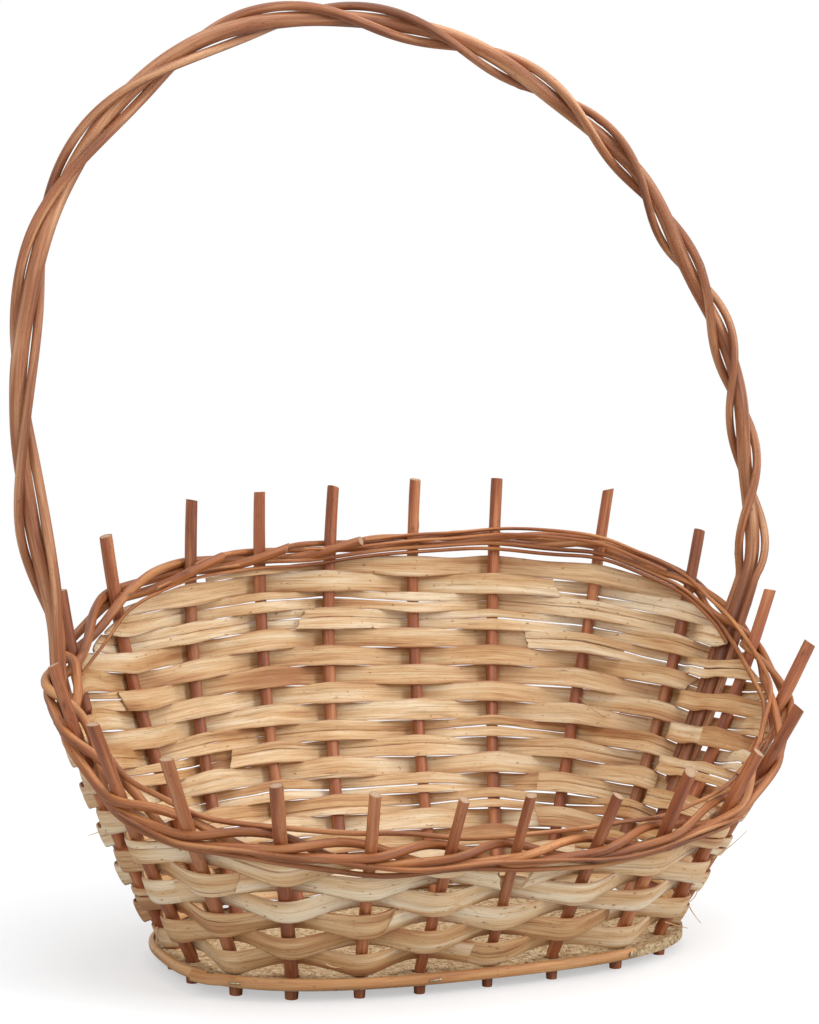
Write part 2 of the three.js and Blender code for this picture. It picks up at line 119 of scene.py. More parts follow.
# Sizes that only the looks have, in millimetres or as shares
WRAP_ORBIT = 5.4
RIM_GIRTH = 0.95
RIM_WAVE = 0.76
RIM_REACH_LIMIT = 4.4
ROW_CORNER, RIM_CORNER, THIN_CORNER = 1.5, 6.5, 5.0
FRAME_BLUR = 5
RIM_TUCK = 1.5
LEAST_HEADROOM = 2
FULL_ROW_START = 15
LAP_TAIL = 0.33
ROD_STEP = STRIP_STEP = 3.0
ROD_REFERENCE = np.array([0.3, 0.2, 1.0])

# Seeds of each kind's random draws, and how far apart its pieces lie in the wood
SEEDS = {"stake": 100, "row": 500, "rim": 900, "thin": 950, "fibre": 1300, "handle": 77, "staple": 60}
GRAIN_STEPS = {"stake": 911, "row": 1733, "length": 411, "rim": 4001, "thin": 977, "fibre": 37, "wrap": 2500,
               "hoop": 700}
THIN_GRAIN_START, WRAP_GRAIN_START = 16000, 3000

board_low, board_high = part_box("base_board")
SHIFT = np.array([(board_low.x + board_high.x) / 2, (board_low.y + board_high.y) / 2, 0]) / MM


def draws(kind, number=0):
    return np.random.default_rng(SEEDS[kind] + number)


def any_angle(rng):
    return rng.uniform(0, 6.28)


def unit(v):
    return v / norm(v)


def units(rows):
    return rows / norm(rows, axis=1)[:, None]


def upward(z):
    return np.array([0, 0, z])


def sideways(out):
    return np.array([-out[1], out[0], 0.0])


def mix(a, b, share):
    return a + (b - a) * share


def smoothstep(x, low, high):
    t = np.clip((x - low) / (high - low), 0, 1)
    return t * t * (3 - 2 * t)


def runs_along(points):
    """The distance along a line at each of its points."""
    return np.concatenate([[0], np.cumsum(norm(np.diff(points, axis=0), axis=1))])


def sample(at, s, table):
    """A table of vectors along s, read at other distances."""
    return np.stack([np.interp(at, s, column) for column in table.T], 1)


def knots_at(rng, places, small, large):
    """Knots at places along a rod, each on any side and of a size from small to large."""
    return [(place, any_angle(rng), rng.uniform(small, large)) for place in places]


def thin_out(points, step):
    """Points at about step mm along the line."""
    s = runs_along(points)
    count = max(int(round(s[-1] / step)), 2)
    return sample(np.linspace(0, s[-1], count + 1), s, points)


def blur(values, width):
    """Values smoothed along the first axis over width samples, with the ends kept."""
    reach = int(width * 3) + 1
    kernel = np.exp(-0.5 * (np.arange(-reach, reach + 1) / width) ** 2)
    kernel /= kernel.sum()
    head = 2 * values[:1] - values[1:reach + 1][::-1]
    tail = 2 * values[-1:] - values[-reach - 1:-1][::-1]
    padded = np.concatenate([head, values, tail])
    return np.stack([np.convolve(column, kernel, "valid") for column in padded.T], 1)


def wander(rng, s, scale, amount):
    """A smooth random value along s."""
    total = np.zeros_like(s, dtype=float)
    for _ in range(3):
        total += np.sin(s * 2 * pi / (scale * rng.uniform(0.6, 1.7)) + any_angle(rng))
    return total * amount / 2


# The construction's lines

def signed_power(v, power):
    return copysign(abs(v) ** power, v)


def oval_place(angle, margin=0.0):
    """A point of the oval grown by margin, and its outward direction."""
    a = HOLE_LENGTH / 2 + margin
    b = HOLE_WIDTH / 2 + margin
    x = a * signed_power(cos(radians(angle)), 2 / OVAL_POWER)
    y = b * signed_power(sin(radians(angle)), 2 / OVAL_POWER)
    out = [signed_power(x / a, OVAL_POWER - 1) / a, signed_power(y / b, OVAL_POWER - 1) / b, 0.0]
    return np.array([x, y, 0.0]), unit(np.array(out))


BEND_LIFT = STAKE_RADIUS * tan(radians(FOOT_LEAN / 2)) + CLEARANCE
CORE_LIFT = CORE_RADIUS * sin(radians(FOOT_LEAN)) + CLEARANCE


def make_warp(beat, angle, length, rim, radii, sway=0, extra=0, number=0):
    """A stake or a handle leg, with its radius in the weave and its half width low and high in the wall."""
    foot, out = oval_place(angle)
    v = foot[1] / (HOLE_WIDTH / 2)
    lean = (END_LEAN + (BACK_LEAN - FRONT_LEAN) / 2 * v
            + ((BACK_LEAN + FRONT_LEAN) / 2 - END_LEAN) * v * v + extra)
    radius, low, high = radii
    return SimpleNamespace(foot=foot, out=out, side=sideways(out), length=length, sway=sway, rim=rim, lean=lean,
                           radius=radius, low=low, high=high, number=number, beat=beat)


def warp_place(warp, along):
    """Point, upward and outward direction of a warp at a distance along the wall."""
    bend = radians(FOOT_LEAN - warp.lean) / warp.length
    start = radians(FOOT_LEAN)
    lean = start - bend * along
    out = (cos(lean) - cos(start)) / bend
    rise = (sin(start) - sin(lean)) / bend
    point = warp.foot + upward(BOARD_TOP + BEND_LIFT + rise) + warp.out * out
    point = point + warp.side * (warp.sway * along / warp.length)
    up = unit(warp.out * sin(lean) + warp.side * (warp.sway / warp.length) + upward(cos(lean)))
    return point, up, unit(np.cross(warp.side, up))


warps = []
for beat, angle in enumerate(STAKE_ANGLES):
    reach = TALLEST_STAKE * STAKE_LENGTHS[beat]
    rim = reach - TIP_STANDOUT * STANDOUTS[beat] - RIM_HALF_HEIGHT
    warps.append(make_warp(beat, angle, reach, rim, (STAKE_RADIUS,) * 3, reach * STAKE_SWAYS[beat], number=beat + 1))
    if beat in LEG_SEATS:
        leg_angle, share, extra = LEG_SEATS[beat]
        leg_rim = TALLEST_STAKE * share
        radii = (CORE_RADIUS + LEG_RELIEF, CORE_RADIUS, CORE_RADIUS + WRAP_DIAMETERS[0] + CLEARANCE * 2)
        warps.append(make_warp(beat, leg_angle, leg_rim + TIP_STANDOUT, leg_rim, radii, extra=extra))
WARPS = len(warps)


def warp_at(index):
    return warps[index % WARPS]


def rim_place(index):
    return warp_place(warp_at(index), warp_at(index).rim)


def width_share(index, way, along, extra):
    """The share of the space to the next warp that a warp's half width and extra take."""
    warp = warp_at(index)
    here = warp_place(warp, along)[0]
    there = warp_place(warp_at(index + way), along)[0]
    half = warp.high if along > warp.rim * (1 - max(WRAP_DEPTHS)) - SPLINT_WIDTH else warp.low
    return min((half + extra) / norm(here - there), 0.6)


def rim_share(index, way):
    return width_share(index, way, warp_at(index).rim, RIM_TIP / 2)


def wall_point(position, alongs, reach):
    """Point, upward and outward direction at a place between two warps, reach out of the wall's middle."""
    index = math.floor(position)
    share = position - index
    a, b = (warp_place(warp_at(k), alongs(k)) for k in (index, index + 1))
    normal = unit(mix(a[2], b[2], share))
    return mix(a[0], b[0], share) + normal * reach, unit(mix(a[1], b[1], share)), normal


def track_place(position, alongs, reach, width):
    """A place of a track: position, point, upward and outward direction, width."""
    return (position, *wall_point(position, alongs, reach), width)


def row_height(row, index):
    return FIRST_ROW_LIFT + ROW_PITCH * SPREADS[index % WARPS] * (row - 0.5)


def row_width(index):
    return ROW_PITCH * SPREADS[index % WARPS] - ROW_GAP


def row_top(row, index):
    return row_height(row, index) + row_width(index) / 2


def row_place(row, position, reach):
    index = math.floor(position)
    width = mix(row_width(index), row_width(index + 1), position - index)
    return track_place(position, lambda w: row_height(row, w), reach, width)


def headroom(row, index):
    """How much of a row's width, from its lower edge, fits under the rim."""
    return rim_underside(index) + RIM_TUCK - row_height(row, index) + row_width(index) / 2


def row_reach(row, index):
    side = -1 if (warp_at(index).beat + row) % 2 == 0 else 1
    return side * (warp_at(index).radius + CLEARANCE * 1.5 + SPLINT_THICKNESS / 2)


def rim_radius(position, start):
    return mix(RIM_BUTT, RIM_TIP, float(np.clip((position - start) / WARPS, 0, 1))) / 2


def slope_factor(position):
    """How much taller the rim is along the stakes where it climbs."""
    index = math.floor(position)
    a, b = rim_place(index), rim_place(index + 1)
    return 1 / sqrt(1 - float(np.dot(unit(b[0] - a[0]), a[1])) ** 2)


def rim_underside(index):
    past = (index - RIM_START) % WARPS
    radius = rim_radius(RIM_START + past, RIM_START)
    return warp_at(index).rim - (3 * radius + CLEARANCE * 5) * max(slope_factor(index - 1), slope_factor(index))


def run_on_share(row, index, way):
    """The share of the space to the next warp that a row can go before it meets the rim."""
    here = rim_underside(index) - row_top(row, index) - CLEARANCE * 3
    there = rim_underside(index + way) - row_top(row, index + way)
    clear = 1 - width_share(index + way, -way, row_height(row, index), SPLINT_THICKNESS * 2)
    return min(here / (here - there), clear) if there < 0 else clear


def row_fits(row, index):
    if row_top(row, index) > rim_underside(index):
        return False
    return all(row_top(row, index + way) <= rim_underside(index + way)
               or run_on_share(row, index, way) > width_share(index, way, row_height(row, index), SPLINT_THICKNESS)
               for way in (-1, 1))


def row_bends(row, index, inset):
    """The places where a row bends over one warp."""
    along = row_height(row, index)
    before, after = (width_share(index, way, along, SPLINT_THICKNESS) for way in (-1, 1))
    reach = row_reach(row, index) - inset
    return [row_place(row, p, reach) for p in (index - before, index, index + after)]


def grow_run(first, last, most, fits):
    """A run of warps grown at both ends while fits holds, to most warps."""
    while last - first < most and fits(last + 1):
        last += 1
    while last - first < most and fits(first - 1):
        first -= 1
    return first, last


def row_track(row):
    """The places of a row round the basket, or None where no row fits."""
    if not row_fits(row, BACK_MIDDLE):
        return None
    first, last = grow_run(BACK_MIDDLE, BACK_MIDDLE, WARPS, lambda index: row_fits(row, index))
    if last - first >= WARPS:
        start = FULL_ROW_START - row % 2 + 2 * (row % 4)
        end = start + WARPS
        inset = SPLINT_THICKNESS + CLEARANCE
        bends = [place for index in range(start, end) for place in row_bends(row, index, 0)]
        tail = row_place(row, end + LAP_TAIL, row_reach(row, start) - inset)
        return [*bends, *row_bends(row, end, inset), tail]
    first, last = grow_run(first, last, WARPS - 2, lambda index: headroom(row, index) > LEAST_HEADROOM)
    ends = []
    for index, way in ((first, -1), (last, 1)):
        here, there = headroom(row, index), headroom(row, index + way)
        share = float(np.clip((here - 1) / (here - there), 0.2, 0.8)) if there < here else 0.5
        reach = mix(row_reach(row, index), row_reach(row, index + way), share)
        ends.append(row_place(row, index + way * share, reach))
    bends = [place for index in range(first, last + 1) for place in row_bends(row, index, 0)]
    return [ends[0], *bends, ends[1]]


def make_track(places, corner):
    """A line through places, sampled each millimetre, its corners rounded over corner mm."""
    tables = [np.array([p[k] for p in places], float) for k in (1, 2, 3)]
    runs = runs_along(tables[0])
    s = np.linspace(0, runs[-1], max(int(runs[-1]), 8) + 1)
    point, up, normal = (blur(sample(s, runs, table), width)
                         for table, width in zip(tables, (corner, FRAME_BLUR, FRAME_BLUR)))
    along = units(np.gradient(point, axis=0))
    up = units(up - along * np.sum(along * up, axis=1)[:, None])
    face = np.cross(along, up)
    face *= np.sign(np.sum(face * normal, axis=1))[:, None]
    where, width = (np.interp(s, runs, [p[k] for p in places]) for k in (0, 4))
    return SimpleNamespace(s=s, where=where, width=width, point=point, up=up, face=face, along=along)


class Shape:
    """A mesh built up from swept sections, in millimetres about the board's middle."""

    def __init__(self):
        self.points, self.grain, self.tint, self.faces, self.slots = [], [], [], [], []
        self.count = 0

    def add(self, points, faces, slot, grain, tint):
        self.points.append(points)
        self.grain.append(grain)
        self.tint.append(tint)
        self.faces += [tuple(c + self.count for c in face) for face in faces]
        self.slots += [slot] * len(faces)
        self.count += len(points)

    def sweep(self, rings, grain, tint, end_slot=1, end_tint=0.0):
        """A closed skin over rings, with its two ends as faces of their own."""
        n, sides = rings.shape[:2]
        faces = [(row + k, row + (k + 1) % sides, row + sides + (k + 1) % sides, row + sides + k)
                 for row in range(0, (n - 1) * sides, sides) for k in range(sides)]
        spokes = rings[0, 1:] - rings[0, 0]
        if np.dot(np.cross(spokes[:-1], spokes[1:]).sum(0), rings[1].mean(0) - rings[0].mean(0)) < 0:
            faces = [face[::-1] for face in faces]
        tint = np.broadcast_to(tint, (n, sides, 3)).reshape(-1, 3)
        self.add(rings.reshape(-1, 3), faces, 0, grain.reshape(-1, 3), tint)
        for end, inner in ((0, 1), (-1, -2)):
            ring = rings[end]
            face = range(sides)
            across = np.cross(ring[sides // 3] - ring[0], ring[2 * sides // 3] - ring[0])
            if np.dot(across, ring.mean(0) - rings[inner].mean(0)) < 0:
                face = face[::-1]
            self.add(ring, [face], end_slot, grain[end], np.tile([end_tint, 0.0, 1.0], (sides, 1)))

    def make(self, name, slot, nodes, sharp=50):
        """The shape as a piece on the body, in place of the part's nodes."""
        points = (np.concatenate(self.points) + SHIFT) * MM
        mesh = bpy.data.meshes.new(name)
        mesh.from_pydata(points.tolist(), [], self.faces)
        for key, table in (("grain", self.grain), ("tint", self.tint)):
            layer = mesh.attributes.new(key, "FLOAT_VECTOR", "POINT")
            layer.data.foreach_set("vector", np.concatenate(table).astype(np.float32).ravel())
        for material in LOOKS[slot]:
            mesh.materials.append(material)
        mesh.polygons.foreach_set("material_index", self.slots)
        mesh.update()
        mesh.shade_smooth()
        mesh.set_sharp_from_angle(angle=radians(sharp))
        piece = bpy.data.objects.new(name, mesh)
        bpy.context.scene.collection.objects.link(piece)
        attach(piece, "root")
        if nodes:
            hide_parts(*nodes)


# Materials

WHITE = (1.0, 1.0, 1.0)


class Graph:
    """The shader nodes of a material or of the world."""

    def __init__(self, owner):
        owner.use_nodes = True
        self.owner = owner
        self.tree = owner.node_tree

    def feed(self, socket, value):
        """A number or a colour set on a socket, or an output linked to it."""
        if isinstance(value, (int, float)):
            socket.default_value = value
        elif isinstance(value, tuple):
            socket.default_value = (*value, 1) if socket.type == "RGBA" else value
        else:
            self.tree.links.new(value, socket)

    def node(self, kind, **values):
        """A node with its inputs and settings by name."""
        made = self.tree.nodes.new("ShaderNode" + kind)
        for key, value in values.items():
            if key in made.inputs:
                self.feed(made.inputs[key], value)
            else:
                setattr(made, key, value)
        return made

    def join(self, kind, *values, **settings):
        """The first output of a node with its inputs fed in order."""
        made = self.node(kind, **settings)
        for socket, value in zip(made.inputs, values):
            self.feed(socket, value)
        return made.outputs[0]

    def maths(self, operation, *values):
        return self.join("Math", *values, operation=operation)

    def times(self, a, b):
        return self.maths("MULTIPLY", a, b)

    def times_add(self, a, b, c):
        return self.maths("MULTIPLY_ADD", a, b, c)

    def length(self, vector):
        made = self.node("VectorMath", operation="LENGTH")
        self.feed(made.inputs[0], vector)
        return made.outputs["Value"]

    def split(self, vector):
        return self.node("SeparateXYZ", Vector=vector).outputs

    def scaled(self, vector, scale):
        return self.node("Mapping", vector_type="POINT", Vector=vector, Scale=scale).outputs["Vector"]

    def noise(self, vector, scale, detail, rough):
        return self.node("TexNoise", Vector=vector, Scale=scale, Detail=detail, Roughness=rough).outputs["Fac"]

    def ramp(self, value, *stops):
        """A value turned into colours or greys, each at its place."""
        made = self.node("ValToRGB", Fac=value)
        elements = made.color_ramp.elements
        while len(elements) < len(stops):
            elements.new(0.5)
        for element, (place, colour) in zip(elements, stops):
            element.position = place
            element.color = (*colour, 1) if isinstance(colour, tuple) else (colour, colour, colour, 1)
        return made.outputs["Color"]

    def above(self, value, low, high):
        """0 where value is under low and 1 where it is over high."""
        return self.ramp(value, (low, 0.0), (high, 1.0))

    def blend(self, kind, factor, a, b):
        made = self.node("Mix", data_type="RGBA", blend_type=kind)
        for socket, value in zip((made.inputs["Factor"], made.inputs[6], made.inputs[7]), (factor, a, b)):
            self.feed(socket, value)
        return made.outputs[2]

    def cover(self, colour, paint, mask, share):
        """A colour under a share of paint where the mask is."""
        return self.blend("MIX", self.times(mask, share), colour, paint)

    def stain(self, colour, share, clear, shade):
        """A colour stained by a share of the shade except where clear is 1."""
        return self.blend("MULTIPLY", share, colour, self.blend("MIX", clear, shade, WHITE))


class Surface(Graph):
    """A Principled material on the piece's grain and tint."""

    def __init__(self, name, roughness, bump):
        super().__init__(bpy.data.materials.new(name))
        self.shader = next(n for n in self.tree.nodes if n.type == "BSDF_PRINCIPLED")
        self.shader.inputs["Roughness"].default_value = roughness
        self.bump = bump

    def attribute(self, key):
        return self.node("Attribute", attribute_name=key).outputs["Vector"]

    def streaks(self, grain, across, lengthwise, detail, rough):
        """Noise drawn out along the grain."""
        return self.noise(self.scaled(grain, (across, across, lengthwise)), 1.0, detail, rough)

    def finish(self, colour, rough, height):
        self.feed(self.shader.inputs["Base Color"], colour)
        if rough is not None:
            self.feed(self.shader.inputs["Roughness"], rough)
        bumps = self.node("Bump", Strength=1.0, Distance=self.bump, Height=height)
        self.feed(self.shader.inputs["Normal"], bumps.outputs["Normal"])
        return self.owner


def willow_material(name, dark, middle, light, speck):
    """Peeled willow: long soft streaks, small specks and a satin shine."""
    m = Surface(name, 0.45, 0.00018)
    grain = m.attribute("grain")
    tone, knot, _ = m.split(m.attribute("tint"))
    streak = m.streaks(grain, 0.55, 0.02, 4.0, 0.62)
    fine = m.streaks(grain, 2.6, 0.11, 3.0, 0.7)
    broad = m.streaks(grain, 0.12, 0.014, 2.0, 0.5)
    base = m.ramp(m.times_add(broad, 0.55, m.times(streak, 0.45)), (0.37, dark), (0.5, middle), (0.64, light))
    colour = m.stain(base, 0.32, m.above(fine, 0.36, 0.62), (0.62, 0.5, 0.42))
    toned = m.node("HueSaturation", Value=m.maths("ADD", tone, 1.0), Color=colour).outputs["Color"]
    marks = m.above(m.streaks(grain, 0.9, 0.34, 2.0, 0.5), 0.66, 0.72)
    colour = m.cover(toned, speck, marks, 0.55)
    scuff = m.above(m.streaks(grain, 1.5, 0.06, 2.0, 0.5), 0.6, 0.72)
    colour = m.cover(colour, light, scuff, 0.3)
    colour = m.cover(colour, speck, knot, 0.85)
    height = m.maths("ADD", m.times(fine, 0.7), m.times(streak, 0.8))
    return m.finish(colour, m.times_add(streak, 0.3, 0.34), height)


def splint_material(name):
    """Split wood: fibres and cracks along the strip, tan and cream zones, dark knots, and reddish painted shade along
    the edges.
    """
    red_tan, tan, straw, cream = (0.41, 0.18, 0.066), (0.59, 0.34, 0.15), (0.72, 0.495, 0.27), (0.86, 0.715, 0.505)
    m = Surface(name, 0.6, 0.00025)
    grain = m.attribute("grain")
    # The strip's tone, its painted edge shade mask (rim) and its cut-end flag, from the tint attribute
    tone, rim, end = m.split(m.attribute("tint"))
    broad = m.streaks(grain, 0.16, 0.013, 3.0, 0.55)
    fibre = m.streaks(grain, 1.5, 0.03, 4.0, 0.65)
    fine = m.streaks(grain, 5.5, 0.12, 3.0, 0.7)
    zone = m.maths("ADD", m.times_add(broad, 0.75, m.times(fibre, 0.25)), tone)
    base = m.ramp(zone, (0.32, red_tan), (0.42, tan), (0.52, straw), (0.66, cream))
    colour = m.stain(base, 0.4, m.above(fibre, 0.34, 0.5), (0.66, 0.5, 0.36))
    colour = m.stain(colour, 0.28, m.above(fine, 0.36, 0.55), (0.7, 0.56, 0.44))
    crack = m.maths("ABSOLUTE", m.maths("SUBTRACT", m.streaks(grain, 1.15, 0.009, 1.0, 0.4), 0.44))
    cracked = m.above(m.streaks(grain, 0.1, 0.02, 1.0, 0.5), 0.52, 0.6)
    deep = m.times(m.ramp(crack, (0.0, 1.0), (0.006, 0.0)), cracked)
    colour = m.cover(colour, (0.2, 0.09, 0.04), deep, 0.75)
    spots = m.streaks(grain, 0.62, 0.3, 1.5, 0.5)
    colour = m.cover(colour, (0.16, 0.07, 0.03), m.above(spots, 0.715, 0.75), 0.8)
    colour = m.cover(colour, (0.42, 0.22, 0.09), m.above(spots, 0.62, 0.72), 0.35)
    # Painted shade: the strip's edges darkened to reddish brown in uneven patches, standing in for the shade between
    # neighbouring strips
    edge_shade_patches = m.ramp(m.streaks(grain, 0.02, 0.03, 2.0, 0.5), (0.4, 0.15), (0.6, 1.0))
    colour = m.cover(colour, (0.32, 0.115, 0.04), rim, edge_shade_patches)
    colour = m.blend("MIX", end, colour, (0.62, 0.42, 0.24))
    height = m.maths("SUBTRACT", m.times_add(fine, 0.35, m.times(fibre, 0.8)), m.times(deep, 1.2))
    return m.finish(colour, m.times_add(fibre, 0.25, 0.36), height)


def cut_material(name):
    """Sawn ends of the rods: pale wood with a dark pith and a dark rim."""
    m = Surface(name, 0.8, 0.0003)
    grain = m.attribute("grain")
    x, y, _ = m.split(grain)
    rough = m.noise(grain, 2.2, 4.0, 0.7)
    ring = m.maths("ADD", m.times(m.length(m.join("CombineXYZ", x, y)), 0.28), m.times(rough, 0.25))
    colour = m.ramp(ring, (0.1, (0.26, 0.13, 0.07)), (0.24, (0.5, 0.34, 0.22)), (0.78, (0.42, 0.26, 0.155)),
                    (0.97, (0.22, 0.1, 0.05)))
    return m.finish(colour, None, rough)


def chipboard_material(name):
    """Particle board: pressed flakes from straw to dark brown, in two sizes."""
    m = Surface(name, 0.95, 0.0003)
    m.shader.inputs["Specular IOR Level"].default_value = 0.0
    place = m.scaled(m.node("TexCoord").outputs["Object"], (1000.0, 1000.0, 1600.0))
    swirl = m.node("TexNoise", Vector=place, Scale=0.5, Detail=2.0).outputs["Color"]
    bent = m.join("VectorMath", swirl, (1.6, 1.6, 1.6), place, operation="MULTIPLY_ADD")
    large = m.node("TexVoronoi", Vector=bent, Scale=0.62, Randomness=1.0).outputs
    small = m.node("TexVoronoi", Vector=bent, Scale=1.7, Randomness=1.0).outputs
    value = m.times_add(m.split(large["Color"])[0], 0.55, m.times(m.split(small["Color"])[1], 0.45))
    colour = m.ramp(value, (0.08, (0.24, 0.13, 0.06)), (0.3, (0.47, 0.31, 0.16)), (0.55, (0.64, 0.48, 0.29)),
                    (0.85, (0.8, 0.67, 0.47)))
    flakes = m.ramp(small["Distance"], (0.25, 1.0), (0.7, 0.0))
    colour = m.stain(colour, 0.45, flakes, (0.5, 0.4, 0.3))
    return m.finish(colour, None, m.maths("SUBTRACT", value, m.times(small["Distance"], 0.6)))


def steel_material(name):
    """Plain wire: grey with drawn lines and faint rust."""
    m = Surface(name, 0.35, 0.00004)
    m.shader.inputs["Metallic"].default_value = 1.0
    grain = m.attribute("grain")
    lines = m.streaks(grain, 6.0, 0.4, 3.0, 0.6)
    rust = m.ramp(m.noise(grain, 0.9, 3.0, 0.6), (0.45, (0.46, 0.4, 0.27)), (0.62, (0.3, 0.19, 0.09)))
    return m.finish(rust, m.times_add(lines, 0.35, 0.2), lines)


# Each willow's dark, middle and light wood, and its specks
WILLOWS = {
    "stake_willow": ((0.19, 0.048, 0.016), (0.34, 0.10, 0.034), (0.55, 0.235, 0.10), (0.09, 0.026, 0.012)),
    "rim_willow": ((0.17, 0.045, 0.011), (0.345, 0.112, 0.029), (0.59, 0.275, 0.10), (0.08, 0.026, 0.009)),
    "handle_willow": ((0.17, 0.05, 0.018), (0.345, 0.12, 0.044), (0.62, 0.33, 0.17), (0.08, 0.026, 0.01)),
    "split_willow": ((0.38, 0.15, 0.05), (0.55, 0.27, 0.10), (0.69, 0.42, 0.20), (0.18, 0.06, 0.02)),
}
# Each slot's skin and ends
cut_look = cut_material("cut_wood")
LOOKS = {name: [willow_material(name, *colours), cut_look] for name, colours in WILLOWS.items()}
LOOKS["splint"] = [splint_material("splint_wood")] * 2
LOOKS["steel"] = [steel_material("plain_wire")] * 2
board_look = chipboard_material("chipboard")


def rod(shape, points, radii, rng, sides=14, tone=0.0, knots=(), slant=(0, 0), offset=0.0):
    """A round rod through points, with slightly uneven section, knots, and slanted cut ends."""
    along = units(np.gradient(points, axis=0))
    s = runs_along(points)
    first = np.empty_like(points)
    f = ROD_REFERENCE - along[0] * np.dot(ROD_REFERENCE, along[0])
    for k in range(len(points)):
        f = unit(f - along[k] * np.dot(f, along[k]))
        first[k] = f
    second = np.cross(along, first)
    turn = np.linspace(0, 2 * pi, sides, endpoint=False)
    radii = np.broadcast_to(radii, s.shape) * (1 + wander(rng, s, 45, 0.02))
    ring_r = np.repeat(radii[:, None], sides, 1)
    for k in (2, 3):
        phase = any_angle(rng) + wander(rng, s, 120, 1.2)
        ring_r = ring_r * (1 + 0.022 / (k - 1) * np.cos(k * turn + phase[:, None]))
    marks = np.zeros((len(s), sides))
    for place, side, size in knots:

        def spot(length, spread):
            round_it = np.angle(np.exp(1j * (turn - side)))
            return np.exp(-((s - place) / (size * length)) ** 2)[:, None] * np.exp(-(round_it / spread) ** 2)

        ring_r = ring_r + spot(1.3, 0.55) * size * 0.28
        marks = np.maximum(marks, spot(0.7, 0.34))
    outward = first[:, None] * np.cos(turn)[:, None] + second[:, None] * np.sin(turn)[:, None]
    rings = points[:, None] + ring_r[..., None] * outward
    for end, amount in zip((0, -1), slant):
        heading = any_angle(rng)
        rings[end] += along[end] * (np.cos(turn + heading) * amount * radii[end])[:, None]
    lengthwise = np.repeat(s[:, None] + offset, sides, 1)
    tones = np.repeat(tone + wander(rng, s, 140, 0.05)[:, None], sides, 1)
    grain = np.stack([ring_r * np.cos(turn), ring_r * np.sin(turn), lengthwise], 2)
    shape.sweep(rings, grain, np.stack([tones, marks, np.zeros_like(marks)], 2))


def make_rod(name, slot, nodes, points, radii, rng, **options):
    """A rod as a piece of its own."""
    shape = Shape()
    rod(shape, points, radii, rng, **options)
    shape.make(name, slot, nodes)


# Stakes, some of them thinner rods than the holes would take
GIRTHS = [0.93, 0.92, 0.96, 1.0, 0.86, 0.8, 0.78, 0.86, 0.93, 0.95, 0.97] + [1.0] * 11


def make_stakes():
    for warp in warps:
        if not warp.number:
            continue
        number = f"{warp.number:02d}"
        rng = draws("stake", warp.number)
        line = [warp.foot, warp.foot + upward(BOARD_TOP)]
        line += [warp_place(warp, warp.length * k / 40)[0] for k in range(41)]
        points = blur(thin_out(np.array(line), 1.0), 1.6)
        s = np.arange(len(points), dtype=float)
        free = smoothstep(s, 6, 40)
        drift = np.outer(wander(rng, s, 160, 0.35) * free, warp.side)
        drift = drift + np.outer(wander(rng, s, 130, 0.3) * free, warp.out)
        points = thin_out(points + drift, ROD_STEP)
        radii = np.linspace(1.03, 0.985, len(points)) * STAKE_RADIUS * rng.uniform(0.97, 1.03) * GIRTHS[warp.number - 1]
        radii[0] *= 0.93
        radii[-1] *= 0.985
        knots = knots_at(rng, (rng.uniform(20, s[-1] - 4) for _ in range(rng.integers(1, 4))), 0.9, 1.6)
        make_rod("willow_stake_" + number, "stake_willow", ["stake_" + number], points, radii, rng,
                 tone=rng.uniform(-0.16, 0.14), knots=knots, slant=(0, rng.uniform(0.1, 0.4)),
                 offset=warp.number * GRAIN_STEPS["stake"])


# Splint rows

STRIP_SHARES = np.array([-1.0, -0.93, -0.72, -0.36, 0.0, 0.36, 0.72, 0.93, 1.0])
STRIP_THINNING = np.array([0.32, 0.72, 0.95, 1.0, 1.0, 1.0, 0.95, 0.72, 0.32])
STRIP_EDGE = 0.8
LEAST_LANE = 0.06
OVER_WIDENING, FRONT_WIDENING = 0.17, 0.08
FRONT_WIDTHS = (9.2, 1.2)
FLARE_RUN = 22
TUCK_RUN, TUCK_DEPTH = 6, 1.25
JOINT_MARGIN = 0.6
CRACKED_SHARE = 0.45


def there_and_back(values):
    """Values across a strip's outer face and back across its inner one."""
    return np.concatenate([values, values[..., ::-1]], -1)


